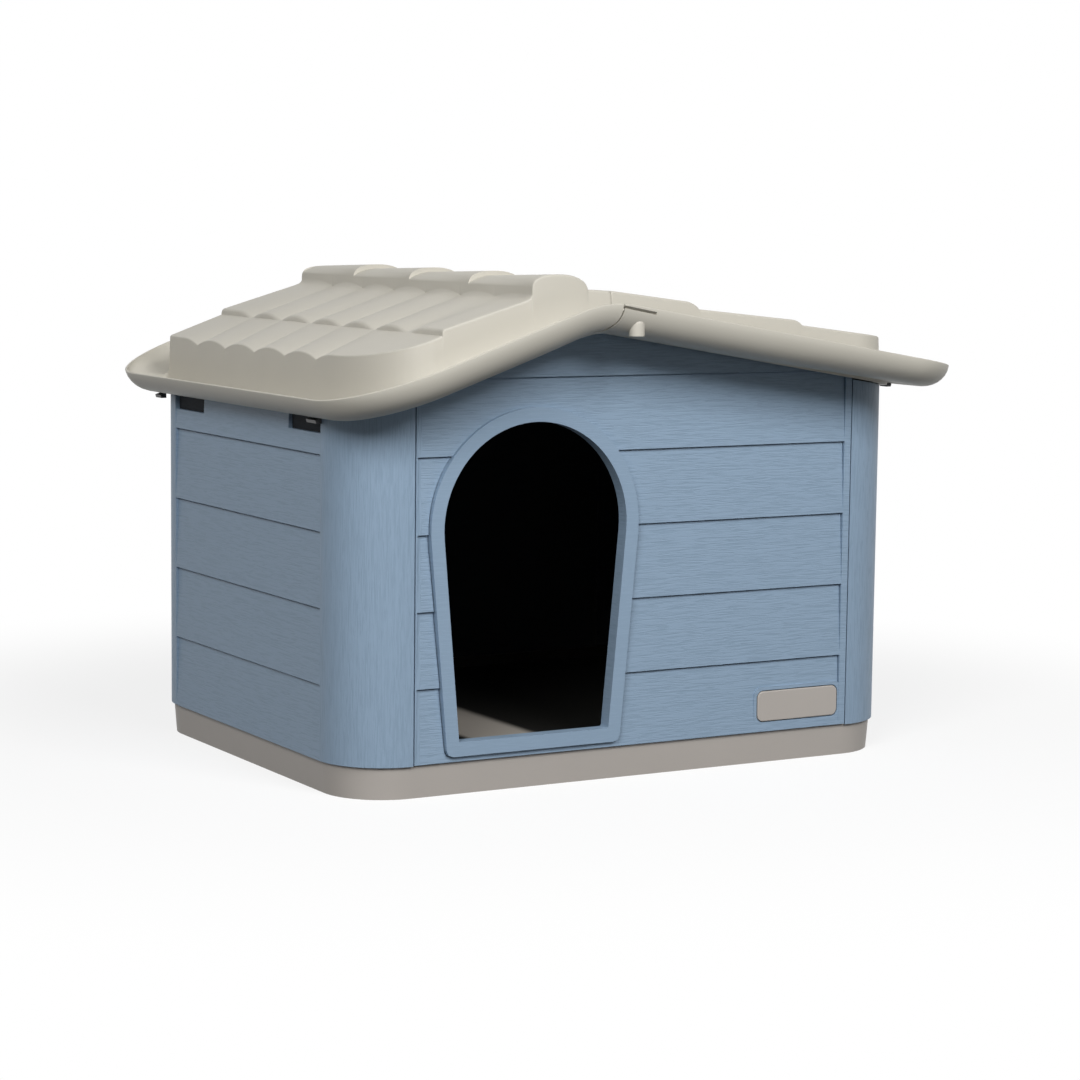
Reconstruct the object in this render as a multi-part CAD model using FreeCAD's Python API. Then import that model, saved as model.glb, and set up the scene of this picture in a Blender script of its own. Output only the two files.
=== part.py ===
import FreeCAD, Part
import math
import os

V = FreeCAD.Vector

# Dog house, all sizes in mm. X runs along the front, Y to the back, Z up.
# The origin is on the floor, under the middle of the roof.

# Body
BODY_X0 = -266.0
BODY_X1 = 260.0
BODY_Y = 198.5          # half depth, front wall face to middle
CORNER_R = 55.0
WALL_T = 4.5
WALL_Z0 = 26.3
HAND_Y = 114.0          # hand notches in the top of the side walls, from the middle
SEAM_L = -211.0         # front and rear panels run between the two seams
SEAM_R = 205.0
SEAM_GAP = 0.5
LAPS = [26.3, 87.1, 148.0, 208.6, 269.4, 329.7, 430.0]
LAP_DEPTH = 2.2
BOARD_TALL = 61.0       # the top board ends here, above it the gable is plain

# Doorway
DOOR_X = -103.0
DOOR_SPRING = 211.0
DOOR_R = 83.5
DOOR_BOTTOM_HALF = 68.5
DOOR_SILL = 43.0
DOOR_FRAME = 11.5
DOOR_PROUD = 3.0
DOOR_DEEP = 9.0

# Base
PLINTH_IN_TOP = 2.5
PLINTH_IN_BOTTOM = 4.5
FLOOR_Z = 31.0
FLOOR_T = 3.0

# Roof: two planes meet at the ridge line, heights are those of the rim crest
RIDGE_X = -71.8
RIDGE_Z = 391.9
RIDGE_BEND = 24.0       # the crest bends over this far each side of the ridge line
ROOF_X = 291.2          # half width over the eaves
ROOF_Y = 256.9          # half depth over the verges
RIM_R_L = 78.0          # corners of the rim in plan
RIM_R_R = 60.0
SLOPE_L = 0.351
SLOPE_R = 0.165
BEHIND = -220.0         # how far each slab is drawn past the ridge before trimming
RIM_DEEP = 24.0         # rim crest down to the underside
RIM_ROUND = 21.5
RIM_LIP = 3.2
RIM_TAB = 12.0          # width of the rim that crosses the ridge, at the verges
DISH = 19.5             # gutter floor below the crest
NOSE_X = -79.0          # round end of the left rim
NOSE_Z = 386.5
NOSE_R = 19.4
TONGUE_X = -79.0        # the right rim runs on under the left one to here
TONGUE_GAP = 0.8
PEG_X = -46.0
PEG_R = 7.0

# Tile block
BLOCK_X = 243.5         # half width, both sides
BLOCK_Y0 = -207.0
BLOCK_Y1 = 214.0
BLOCK_R_L = 46.0        # front corners
BLOCK_R_R = 39.0
BLOCK_R_BACK = 14.0
SKIN = 3.5
CEILING = 4.5
TILE_N = 7
TILE_PITCH = 59.3
STEP_L = -192.0         # lower edge of the upper course on the left
RIDGE_SIDE = -112.9     # left flank of the ridge tiles
RIDGE_EDGE = -62.0      # right flank
RIDGE_BED_Z = 399.5
RIDGE_TILES = 4
RIDGE_STEP = 3.7        # front end of a ridge tile over the back end of the next
SEAM_X = -40.8
SEAM_HALF = 0.25
STRIP_Z = 397.3

# Ridge hinge
ROD_R = 1.25
ROD_FIT = 0.05
BEAD_R = 3.0
AXIS_Z = STRIP_Z - BEAD_R
AXIS_L = SEAM_X - BEAD_R - SEAM_HALF
AXIS_R = SEAM_X + BEAD_R + SEAM_HALF
KNUCKLES = [-180.0, -90.0, 0.0, 90.0, 180.0]
KNUCKLE_L = 16.0
ROD_IN = 8.0            # rod ends stop this far inside the block
BEAM_TOP = AXIS_Z - BEAD_R - 3.3
BEAM_DEEP = 14.0
BEAM_HALF = 13.0
CLIP_OUT = 5.5          # catches under the eaves, reach beyond the wall
CLIPS_L = [(-146.0, -129.0), (164.0, 176.0)]
CLIPS_R = [(-172.0, -162.0), (162.0, 172.0)]


def crest_z(x):
    """Height of the rim crest above a given x."""
    if x < RIDGE_X:
        return RIDGE_Z - SLOPE_L * (RIDGE_X - x)
    return RIDGE_Z - SLOPE_R * (x - RIDGE_X)


def polygon(points):
    return Part.Face(Part.makePolygon(points + [points[0]]))


def box(x0, x1, y0, y1, z0, z1):
    return Part.makeBox(x1 - x0, y1 - y0, z1 - z0, V(x0, y0, z0))


def span_box(xa, xb, ya, yb, z0, z1):
    """Box between two corners given in any order."""
    return box(min(xa, xb), max(xa, xb), min(ya, yb), max(ya, yb), z0, z1)


def rounded_wire(x0, x1, y0, y1, r, z):
    k = r * (1 - math.sqrt(0.5))
    edges = []
    sides = [
        (V(x0 + r, y0, z), V(x1 - r, y0, z), V(x1 - k, y0 + k, z), V(x1, y0 + r, z)),
        (V(x1, y0 + r, z), V(x1, y1 - r, z), V(x1 - k, y1 - k, z), V(x1 - r, y1, z)),
        (V(x1 - r, y1, z), V(x0 + r, y1, z), V(x0 + k, y1 - k, z), V(x0, y1 - r, z)),
        (V(x0, y1 - r, z), V(x0, y0 + r, z), V(x0 + k, y0 + k, z), V(x0 + r, y0, z)),
    ]
    for a, b, c, d in sides:
        edges.append(Part.LineSegment(a, b).toShape())
        edges.append(Part.Arc(b, c, d).toShape())
    return Part.Wire(edges)


def rounded_box(x0, x1, y0, y1, r, z0, z1):
    return Part.Face(rounded_wire(x0, x1, y0, y1, r, z0)).extrude(V(0, 0, z1 - z0))


def body_block(inset, z0, z1):
    return rounded_box(BODY_X0 + inset, BODY_X1 - inset, -BODY_Y + inset,
                       BODY_Y - inset, CORNER_R - inset, z0, z1)


def under_roof(drop, y0, y1):
    """Everything that lies at least `drop` below the crest lines."""
    zl = crest_z(-320) - drop
    zr = crest_z(320) - drop
    face = polygon([V(-320, y0, -10), V(320, y0, -10), V(320, y0, zr),
                    V(RIDGE_X, y0, RIDGE_Z - drop), V(-320, y0, zl)])
    return face.extrude(V(0, y1 - y0, 0))


# ---- base -------------------------------------------------------------------

def base_tray():
    i0 = PLINTH_IN_BOTTOM
    i1 = PLINTH_IN_TOP
    low = rounded_wire(BODY_X0 + i0, BODY_X1 - i0, -BODY_Y + i0, BODY_Y - i0,
                       CORNER_R - i0, 0)
    top = rounded_wire(BODY_X0 + i1, BODY_X1 - i1, -BODY_Y + i1, BODY_Y - i1,
                       CORNER_R - i1, WALL_Z0)
    tray = Part.makeLoft([low, top], True)
    tray = tray.cut(body_block(i0 + 3.0, -1, FLOOR_Z - FLOOR_T))
    inner = WALL_T + 0.3
    tray = tray.fuse(body_block(inner, WALL_Z0 - 2, FLOOR_Z))
    lip = body_block(inner, FLOOR_Z, FLOOR_Z + 9)
    lip = lip.cut(body_block(inner + 2.5, FLOOR_Z - 1, FLOOR_Z + 10))
    tray = tray.fuse(lip.cut(door_blank(1.0, -BODY_Y - 1, 60)))
    tray = tray.cut(body_block(i0 + 3.0, -1, FLOOR_Z - FLOOR_T))
    for x in (-160.0, -54.0, 52.0, 158.0):
        tray = tray.fuse(box(x - 1.5, x + 1.5, -BODY_Y + 7, BODY_Y - 7, 8, FLOOR_Z - FLOOR_T))
    for y in (-100.0, 0.0, 100.0):
        tray = tray.fuse(box(BODY_X0 + 7, BODY_X1 - 7, y - 1.5, y + 1.5, 8, FLOOR_Z - FLOOR_T))
    return tray.removeSplitter()


# ---- doorway ----------------------------------------------------------------

def door_wire(grow, y):
    """Arched opening that narrows toward the sill, grown by `grow` all round."""
    r = DOOR_R + grow
    x0 = DOOR_X - r
    x1 = DOOR_X + r
    b = DOOR_BOTTOM_HALF + grow
    z0 = DOOR_SILL - grow
    c = 6.0 + 0.6 * grow
    lean = (r - b) / (DOOR_SPRING - z0)
    pts = [V(DOOR_X - b + c, y, z0), V(DOOR_X + b - c, y, z0),
           V(DOOR_X + b + lean * c, y, z0 + c), V(x1, y, DOOR_SPRING),
           V(x0, y, DOOR_SPRING), V(DOOR_X - b - lean * c, y, z0 + c)]
    q = 0.3 * c
    edges = [
        Part.LineSegment(pts[0], pts[1]).toShape(),
        Part.Arc(pts[1], V(DOOR_X + b - q, y, z0 + q), pts[2]).toShape(),
        Part.LineSegment(pts[2], pts[3]).toShape(),
        Part.Arc(pts[3], V(DOOR_X, y, DOOR_SPRING + r), pts[4]).toShape(),
        Part.LineSegment(pts[4], pts[5]).toShape(),
        Part.Arc(pts[5], V(DOOR_X - b + q, y, z0 + q), pts[0]).toShape(),
    ]
    return Part.Wire(edges)


def door_blank(grow, y0, depth):
    return Part.Face(door_wire(grow, y0)).extrude(V(0, depth, 0))


# ---- walls ------------------------------------------------------------------

def lap_cut(z0, z1):
    """Outline of what is planed off one board: its top edge sits deepest."""
    return [(-1.0, z0), (0.0, z0), (LAP_DEPTH, z1), (-1.0, z1)]


def front_laps(x0, x1, side):
    """Board shapes over a front or rear panel. side is -1 front, +1 rear."""
    cuts = []
    for z0, z1 in zip(LAPS[:-1], LAPS[1:]):
        pts = [V(x0, side * (BODY_Y - d), z) for d, z in lap_cut(z0, min(z1, z0 + BOARD_TALL))]
        cuts.append(polygon(pts).extrude(V(x1 - x0, 0, 0)))
    return cuts


def side_laps(side):
    x = BODY_X0 if side < 0 else BODY_X1
    cuts = []
    for z0, z1 in zip(LAPS[:-1], LAPS[1:]):
        if z0 > 300:
            continue
        pts = [V(x - side * d, -BODY_Y + CORNER_R, z) for d, z in lap_cut(z0, z1)]
        cuts.append(polygon(pts).extrude(V(0, 2 * (BODY_Y - CORNER_R), 0)))
    return cuts


def gable_panel(side, drop):
    """Flat panel between the seams, its top following both roof planes."""
    y = side * BODY_Y
    x0 = SEAM_L + SEAM_GAP
    x1 = SEAM_R - SEAM_GAP
    pts = [V(x0, y, WALL_Z0), V(x1, y, WALL_Z0), V(x1, y, crest_z(x1) - drop),
           V(RIDGE_X, y, RIDGE_Z - drop), V(x0, y, crest_z(x0) - drop)]
    return polygon(pts).extrude(V(0, -side * WALL_T, 0))


def beam_seat(side):
    """Pad on the inside of a gable panel that the end of the ridge beam lies on."""
    z = BEAM_TOP - BEAM_DEEP
    y = side * (BODY_Y - WALL_T)
    w = BEAM_HALF + 4.0
    return span_box(SEAM_X - w, SEAM_X + w, y + side * 0.5, y - side * 8.0, z - 9, z)


def front_wall():
    wall = gable_panel(-1, 13.0)
    for cut in front_laps(SEAM_L, SEAM_R - 7.5, -1):
        wall = wall.cut(cut)
    ring = door_blank(DOOR_FRAME, -BODY_Y - DOOR_PROUD, DOOR_PROUD + WALL_T)
    sleeve = door_blank(3.0, -BODY_Y, DOOR_DEEP)
    wall = wall.fuse(ring).fuse(sleeve)
    wall = wall.cut(door_blank(0.0, -BODY_Y - 10, 40))
    plate = plate_wire_box(0.4, -BODY_Y - 1, 1 + 2.8)
    wall = wall.fuse(plate_wire_box(3.0, -BODY_Y + 0.2, WALL_T - 0.2)).cut(plate)
    wall = wall.cut(beam_notch()).fuse(beam_seat(-1))
    return wall.removeSplitter()


def rear_wall():
    wall = gable_panel(1, 13.0)
    for cut in front_laps(SEAM_L + 7.5, SEAM_R - 7.5, 1):
        wall = wall.cut(cut)
    return wall.cut(beam_notch()).fuse(beam_seat(1)).removeSplitter()


def side_wall(side):
    ring = body_block(0, WALL_Z0, 340).cut(body_block(WALL_T, WALL_Z0 - 1, 341))
    if side < 0:
        ring = ring.common(box(BODY_X0 - 1, SEAM_L, -220, 220, 0, 400))
    else:
        ring = ring.common(box(SEAM_R, BODY_X1 + 1, -220, 220, 0, 400))
    ring = ring.common(under_roof(RIM_DEEP / math.cos(math.atan(slope(side))) + 0.5, -250, 250))
    for cut in side_laps(side):
        ring = ring.cut(cut)
    # flanges that stand behind the front and rear panels
    seam = SEAM_L if side < 0 else SEAM_R
    for end in (-1, 1):
        y_in = end * (BODY_Y - WALL_T - 0.1)
        z_top = crest_z(seam) - 30.0
        ring = ring.fuse(span_box(seam + side * 3.0, seam - side * 13.0, y_in, y_in - end * 3.0,
                                  FLOOR_Z + 10, z_top))
        ring = ring.fuse(span_box(seam + side * 3.0, seam, y_in + end * 0.5, y_in - end * 3.0,
                                  FLOOR_Z + 10, z_top))
    # hand notches in the top edge
    x = BODY_X0 if side < 0 else BODY_X1
    z = crest_z(x) - 38.0
    for y in (-HAND_Y, HAND_Y):
        ring = ring.cut(span_box(x + side * 2, x - side * 2.4, y - 30, y + 30, z, z + 60))
    return ring.removeSplitter()


def plate_wire_box(grow, y0, depth):
    x0 = 113.5 - grow
    x1 = 197.0 + grow
    z0 = 34.8 - grow
    z1 = 61.8 + grow
    r = 6.0 + 0.5 * grow
    flat = rounded_wire(x0, x1, z0, z1, r, 0)
    flat.rotate(V(0, 0, 0), V(1, 0, 0), 90)
    flat.translate(V(0, y0, 0))
    return Part.Face(flat).extrude(V(0, depth, 0))


def name_plate():
    return plate_wire_box(0.0, -BODY_Y - 0.4, 3.2)


# ---- roof -------------------------------------------------------------------

def slope(side):
    return SLOPE_L if side < 0 else SLOPE_R


def tilt(shape, side):
    """Lay a flat half, drawn along +x from the ridge, on its roof plane."""
    if side < 0:
        shape = shape.mirror(V(0, 0, 0), V(1, 0, 0))
    angle = side * math.degrees(math.atan(slope(side)))
    shape.rotate(V(0, 0, 0), V(0, 1, 0), angle)
    shape.translate(V(RIDGE_X, 0, RIDGE_Z))
    return shape


def along(side, x):
    """Distance down the roof plane from the ridge line to a given x."""
    return abs(x - RIDGE_X) * math.sqrt(1 + slope(side) ** 2)


def loop_at(shape, z):
    return [e for e in shape.Edges
            if abs(e.BoundBox.ZMin - z) < 0.01 and abs(e.BoundBox.ZMax - z) < 0.01]


def rim_slab(side):
    """Rim with its round underside, dished inside its lip."""
    u = along(side, side * ROOF_X)
    r = RIM_R_L if side < 0 else RIM_R_R
    plate = rounded_box(BEHIND, u, -ROOF_Y, ROOF_Y, r, -RIM_DEEP, 0)
    plate = plate.makeFillet(RIM_ROUND, loop_at(plate, -RIM_DEEP))
    i = RIM_LIP
    dish = rounded_box(BEHIND + i, u - i, -ROOF_Y + i, ROOF_Y - i, r - i, -DISH, 6)
    dish = dish.makeFillet(DISH - 2.5, loop_at(dish, -DISH))
    return tilt(plate.cut(dish), side)


def block_prism(side, inset, z0, z1):
    """Upright prism on the outline of the tile block; the rear corners are tighter."""
    far = BLOCK_X - inset
    front = BLOCK_Y0 + inset
    back = BLOCK_Y1 - inset
    rf = (BLOCK_R_L if side < 0 else BLOCK_R_R) - inset
    rb = BLOCK_R_BACK - inset
    kf = rf * (1 - math.sqrt(0.5))
    kb = rb * (1 - math.sqrt(0.5))
    x = side * far
    end = RIDGE_X - side * 40.0
    pts = [V(end, front, z0), V(x - side * rf, front, z0), V(x, front + rf, z0),
           V(x, back - rb, z0), V(x - side * rb, back, z0), V(end, back, z0)]
    edges = [
        Part.LineSegment(pts[0], pts[1]).toShape(),
        Part.Arc(pts[1], V(x - side * kf, front + kf, z0), pts[2]).toShape(),
        Part.LineSegment(pts[2], pts[3]).toShape(),
        Part.Arc(pts[3], V(x - side * kb, back - kb, z0), pts[4]).toShape(),
        Part.LineSegment(pts[4], pts[5]).toShape(),
        Part.LineSegment(pts[5], pts[0]).toShape(),
    ]
    return Part.Face(Part.Wire(edges)).extrude(V(0, 0, z1 - z0))


def course_wire(x, crown, valley, verge):
    """Section of a course of barrel tiles at x; heights are above the crest line. The first and
    last half barrels run out to the verge height."""
    z = crest_z(x)
    top = []
    first = BLOCK_Y0
    for n in range(TILE_N):
        y0 = first + n * TILE_PITCH
        ym = y0 + TILE_PITCH / 2
        y1 = y0 + TILE_PITCH
        q = 0.25 * TILE_PITCH
        mid = z + valley + 0.75 * (crown - valley)
        c = V(x, ym, z + crown)
        if n == 0:
            edge = V(x, BLOCK_Y0 - 2, z + verge)
            top.append(Part.LineSegment(edge, c).toShape())
        else:
            top.append(Part.Arc(V(x, y0, z + valley), V(x, y0 + q, mid), c).toShape())
        if n == TILE_N - 1:
            edge = V(x, BLOCK_Y1 + 2, z + verge)
            top.append(Part.LineSegment(c, edge).toShape())
        else:
            top.append(Part.Arc(c, V(x, y1 - q, mid), V(x, y1, z + valley)).toShape())
    a = V(x, BLOCK_Y1 + 2, z + verge)
    b = V(x, BLOCK_Y1 + 2, z - RIM_DEEP)
    c = V(x, BLOCK_Y0 - 2, z - RIM_DEEP)
    d = V(x, BLOCK_Y0 - 2, z + verge)
    for p, q in ((a, b), (b, c), (c, d)):
        top.append(Part.LineSegment(p, q).toShape())
    return Part.Wire(top)


def course(sections):
    """One course of tiles through its sections, upper end first."""
    return Part.makeLoft([course_wire(*section) for section in sections], True, True)


def tile_block(side, courses):
    """Upright-sided block with its courses of tiles on top."""
    top = course(courses[0])
    for sections in courses[1:]:
        top = top.fuse(course(sections))
    return top.common(block_prism(side, 0, 200, 430))


def hollow(side):
    """Room under the tiles, up to the ceiling that follows the roof plane."""
    return block_prism(side, SKIN, 200, 430).common(under_roof(-CEILING, -300, 300))


def ridge_round(side):
    """What is shaved off the sharp ridge of the rim so that its crest bends over softly."""
    t = RIDGE_BEND
    a = V(RIDGE_X - t, -300, RIDGE_Z - SLOPE_L * t)
    b = V(RIDGE_X + t, -300, RIDGE_Z - SLOPE_R * t)
    drop = (SLOPE_L + SLOPE_R) * t / 4
    mid = V(RIDGE_X, -300, RIDGE_Z - drop)
    over = V(RIDGE_X, -300, RIDGE_Z + 20)
    left = V(a.x, -300, RIDGE_Z + 20)
    right = V(b.x, -300, RIDGE_Z + 20)
    edges = [Part.Arc(a, mid, b).toShape()]
    for p, q in ((b, right), (right, over), (over, left), (left, a)):
        edges.append(Part.LineSegment(p, q).toShape())
    face = Part.Face(Part.Wire(edges))
    front = face.extrude(V(0, 300 + BLOCK_Y0 - 0.1, 0))
    face.translate(V(0, 300 + BLOCK_Y1 + 0.1, 0))
    return front.fuse(face.extrude(V(0, 300, 0)))


def cap_wire(y, shrink):
    """Section of a ridge tile, drawn in by `shrink` all round toward its back end."""
    left = RIDGE_SIDE + shrink
    right = RIDGE_EDGE - 0.4 - 0.5 * shrink
    base = RIDGE_BED_Z - 3.0
    pts = [V(left, y, base), V(left, y, 404.0 - shrink), V(-88.0, y, 410.8 - shrink),
           V(right - 4.4, y, 405.2 - shrink), V(right, y, 398.4 - 0.3 * shrink), V(right, y, base)]
    edges = [
        Part.LineSegment(pts[0], pts[1]).toShape(),
        Part.Arc(pts[1], pts[2], pts[3]).toShape(),
        Part.LineSegment(pts[3], pts[4]).toShape(),
        Part.LineSegment(pts[4], pts[5]).toShape(),
        Part.LineSegment(pts[5], pts[0]).toShape(),
    ]
    return Part.Wire(edges)


def ridge_flanks():
    """Sides and ends of the block under the bed of the ridge tiles, left of the ridge line."""
    left_z = crest_z(RIDGE_SIDE)
    pts = [V(RIDGE_SIDE, BLOCK_Y0, left_z - DISH - 2), V(RIDGE_X + 1, BLOCK_Y0, RIDGE_Z - DISH - 2),
           V(RIDGE_X + 1, BLOCK_Y0, RIDGE_BED_Z), V(RIDGE_SIDE, BLOCK_Y0, RIDGE_BED_Z)]
    return polygon(pts).extrude(V(0, BLOCK_Y1 - BLOCK_Y0, 0))


def ridge_tiles():
    """Bed along the ridge with four half-round tiles, each highest at its front end."""
    bed = box(RIDGE_SIDE, RIDGE_EDGE, BLOCK_Y0, BLOCK_Y1, RIDGE_Z + CEILING + 0.1, RIDGE_BED_Z)
    length = (BLOCK_Y1 - BLOCK_Y0) / RIDGE_TILES
    for n in range(RIDGE_TILES):
        y0 = BLOCK_Y0 + n * length
        cap = Part.makeLoft([cap_wire(y0, 0.0), cap_wire(y0 + length, RIDGE_STEP)], True, True)
        bed = bed.fuse(cap)
    return bed


def rim_split(gap):
    """What the left half keeps of the rim and strip that cross the ridge line."""
    y_rim = ROOF_Y - RIM_TAB
    keep = box(RIDGE_X - 1, SEAM_X, -y_rim, y_rim, 300, 430)
    for end in (-1, 1):
        y0 = min(end * y_rim, end * (ROOF_Y + 5))
        y1 = max(end * y_rim, end * (ROOF_Y + 5))
        r = NOSE_R + gap
        piece = box(NOSE_X - 1, NOSE_X + r, y0, y1, NOSE_Z, 430)
        nose = Part.makeCylinder(r, y1 - y0, V(NOSE_X, y0, NOSE_Z), V(0, 1, 0))
        keep = keep.fuse(piece).fuse(nose.common(box(NOSE_X - 1, 0, y0, y1, 300, 430)))
    return keep


def bead(side):
    x = AXIS_L if side < 0 else AXIS_R
    return Part.makeCylinder(BEAD_R, BLOCK_Y1 - BLOCK_Y0, V(x, BLOCK_Y0, AXIS_Z), V(0, 1, 0))


def hinge_cuts(side):
    """Bore for the rod, and the gaps in the bead for the knuckles of the beam."""
    x = AXIS_L if side < 0 else AXIS_R
    y0 = BLOCK_Y0 + ROD_IN - 1.0
    cuts = [Part.makeCylinder(ROD_R + ROD_FIT, BLOCK_Y1 - BLOCK_Y0 - 2 * ROD_IN + 2.0,
                              V(x, y0, AXIS_Z), V(0, 1, 0))]
    for y in KNUCKLES:
        h = KNUCKLE_L / 2 + 0.4
        w = 3 * BEAD_R
        cuts.append(box(SEAM_X - w, SEAM_X + w, y - h, y + h, 380, 402))
    return cuts


def left_roof():
    lower = [(-186.0, 14.2, 13.2, 14.2), (-BLOCK_X - 2, 12.9, 7.0, 15.4)]
    upper = [(-108.0, 18.6, 13.6, 13.6), (STEP_L + 1.6, 19.0, 13.4, 19.2), (STEP_L, 17.6, 12.0, 17.8)]
    block = tile_block(-1, [lower, upper])
    slope_part = rim_slab(-1).fuse(block).fuse(ridge_flanks()).cut(hollow(-1))
    slope_part = slope_part.common(box(-300, RIDGE_X + 0.01, -260, 260, 200, 430))
    strip = rim_slab(1).fuse(block_prism(1, 0, RIDGE_Z - DISH - 4, STRIP_Z)).cut(hollow(1))
    strip = strip.common(box(RIDGE_X, 0, -260, 260, 300, STRIP_Z)).common(rim_split(0.0))
    under = hollow(1).common(box(RIDGE_X, 0, -260, 260, 300, 430))
    nose_room = box(NOSE_X + 0.01, RIDGE_X + 0.02, -300, -ROOF_Y + RIM_TAB, 300, NOSE_Z)
    roof = slope_part.fuse(strip).cut(ridge_round(-1))
    roof = roof.fuse(ridge_tiles()).cut(under)
    # the seam edge is a round bead with the hinge rod inside
    roof = roof.cut(box(AXIS_L, 0, BLOCK_Y0 - 0.01, BLOCK_Y1 + 0.01, 383, 402))
    roof = roof.fuse(bead(-1))
    roof = roof.cut(box(SEAM_X - SEAM_HALF, 0, -ROOF_Y + RIM_TAB, ROOF_Y - RIM_TAB, 300, 430))
    for cut in hinge_cuts(-1):
        roof = roof.cut(cut)
    return biggest(roof)


def right_roof():
    first = [(-60.0, 11.0, 10.6, 10.4), (31.5, 14.4, 10.2, 13.7), (38.5, 13.4, 9.2, 12.7),
             (42.5, 10.6, 8.0, 10.2), (44.0, 8.4, 7.0, 8.4)]
    second = [(30.0, 9.4, 8.8, 9.2), (137.0, 15.8, 10.8, 15.2), (143.0, 14.6, 9.8, 14.2),
              (146.5, 11.0, 8.4, 11.0)]
    third = [(136.0, 11.4, 10.6, 11.4), (BLOCK_X + 2, 16.0, 10.6, 15.6)]
    roof = rim_slab(1).fuse(tile_block(1, [first, second, third])).cut(hollow(1))
    roof = roof.common(box(TONGUE_X, 300, -260, 260, 200, 430)).cut(ridge_round(1))
    roof = roof.cut(rim_split(TONGUE_GAP))
    roof = roof.cut(box(-200, AXIS_R, BLOCK_Y0 - 0.01, BLOCK_Y1 + 0.01, 383, 402))
    roof = roof.fuse(bead(1))
    roof = roof.cut(box(-200, SEAM_X + SEAM_HALF, -ROOF_Y + RIM_TAB, ROOF_Y - RIM_TAB, 300, 430))
    for cut in hinge_cuts(1):
        roof = roof.cut(cut)
    for end in (-1, 1):
        roof = roof.cut(rim_slit(end))
        roof = roof.fuse(rim_peg(end))
    return biggest(roof)


def rim_slit(end):
    """Narrow slit over the tongue of the rim."""
    y0 = min(end * (ROOF_Y - RIM_TAB + 1), end * (ROOF_Y + 2))
    slit = Part.makeBox(32.0, 13.0, 1.4, V(0, 0, -0.7))
    slit.rotate(V(0, 0, 0), V(0, 1, 0), 14.0)
    slit.translate(V(-61.0, y0, 387.6))
    return slit


def rim_peg(end):
    """Upright peg with a round top on the tongue of the rim."""
    y = end * (ROOF_Y - 7.5)
    post = Part.makeCylinder(PEG_R, 11.0, V(PEG_X, y, 362.5), V(0, 0, 1))
    peg = post.fuse(Part.makeSphere(PEG_R, V(PEG_X, y, 373.5)))
    inner = ROOF_Y - RIM_TAB + 0.6
    return peg.cut(box(PEG_X - 15, PEG_X + 15, -inner, inner, 355, 395))


def biggest(shape):
    return sorted(shape.Solids, key=lambda s: -s.Volume)[0]


# ---- ridge beam, rods, clips --------------------------------------------------

def beam_profile(y0, y1):
    return box(SEAM_X - BEAM_HALF, SEAM_X + BEAM_HALF, y0, y1, BEAM_TOP - BEAM_DEEP, BEAM_TOP)


def beam_notch():
    """Seat for the ridge beam in the top of the front and rear panels."""
    w = BEAM_HALF + 0.1
    return box(SEAM_X - w, SEAM_X + w, -BODY_Y - 1, BODY_Y + 1, BEAM_TOP - BEAM_DEEP, 420)


def ridge_beam():
    y0 = -BODY_Y + 0.4
    y1 = BODY_Y - 0.4
    beam = beam_profile(y0, y1)
    w = BEAM_HALF - 3.0
    beam = beam.cut(box(SEAM_X - w, SEAM_X + w, y0 + 8, y1 - 8, BEAM_TOP - 20, BEAM_TOP - 3))
    for y in KNUCKLES:
        h = KNUCKLE_L / 2
        web = box(SEAM_X - 8, SEAM_X + 8, y - h, y + h, BEAM_TOP - 1, AXIS_Z)
        beam = beam.fuse(web)
        for x in (AXIS_L, AXIS_R):
            beam = beam.fuse(Part.makeCylinder(BEAD_R, 2 * h, V(x, y - h, AXIS_Z), V(0, 1, 0)))
    for x in (AXIS_L, AXIS_R):
        beam = beam.cut(Part.makeCylinder(ROD_R, 2 * BODY_Y, V(x, -BODY_Y, AXIS_Z), V(0, 1, 0)))
    return beam.removeSplitter()


def hinge_rod(side):
    x = AXIS_L if side < 0 else AXIS_R
    y0 = BLOCK_Y0 + ROD_IN
    y1 = BLOCK_Y1 - ROD_IN
    rod = Part.makeCylinder(ROD_R, y1 - y0, V(x, y0, AXIS_Z), V(0, 1, 0))
    return rod


def rim_under(x, side):
    """Height of the flat underside of the rim."""
    return crest_z(x) - RIM_DEEP / math.cos(math.atan(slope(side)))


def eave_clips(side):
    """Two small catches under the eave, just outside the side wall."""
    a = BODY_X0 if side < 0 else BODY_X1
    b = a + side * CLIP_OUT
    low = min(rim_under(a, side), rim_under(b, side)) - 2.6
    solids = []
    for y0, y1 in CLIPS_L if side < 0 else CLIPS_R:
        foot = polygon([V(a, y0, rim_under(a, side)), V(b, y0, rim_under(b, side)),
                        V(b - side * 0.8, y0, low), V(a, y0, low)])
        solids.append(foot.extrude(V(0, y1 - y0, 0)))
    return Part.makeCompound(solids)


def corner_wedges():
    """Locking wedges that hold the panels to the side walls, inside, low and high."""
    solids = []
    for seam, side in ((SEAM_L, -1), (SEAM_R, 1)):
        for end in (-1, 1):
            y = end * (BODY_Y - WALL_T - 3.1)
            for z in (90.0, 240.0):
                xc = seam - side * 5.0
                y0 = min(y, y - end * 4.0)
                solids.append(box(xc - 9, xc + 9, y0, y0 + 4.0, z, z + 26))
    return Part.makeCompound(solids)


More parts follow.
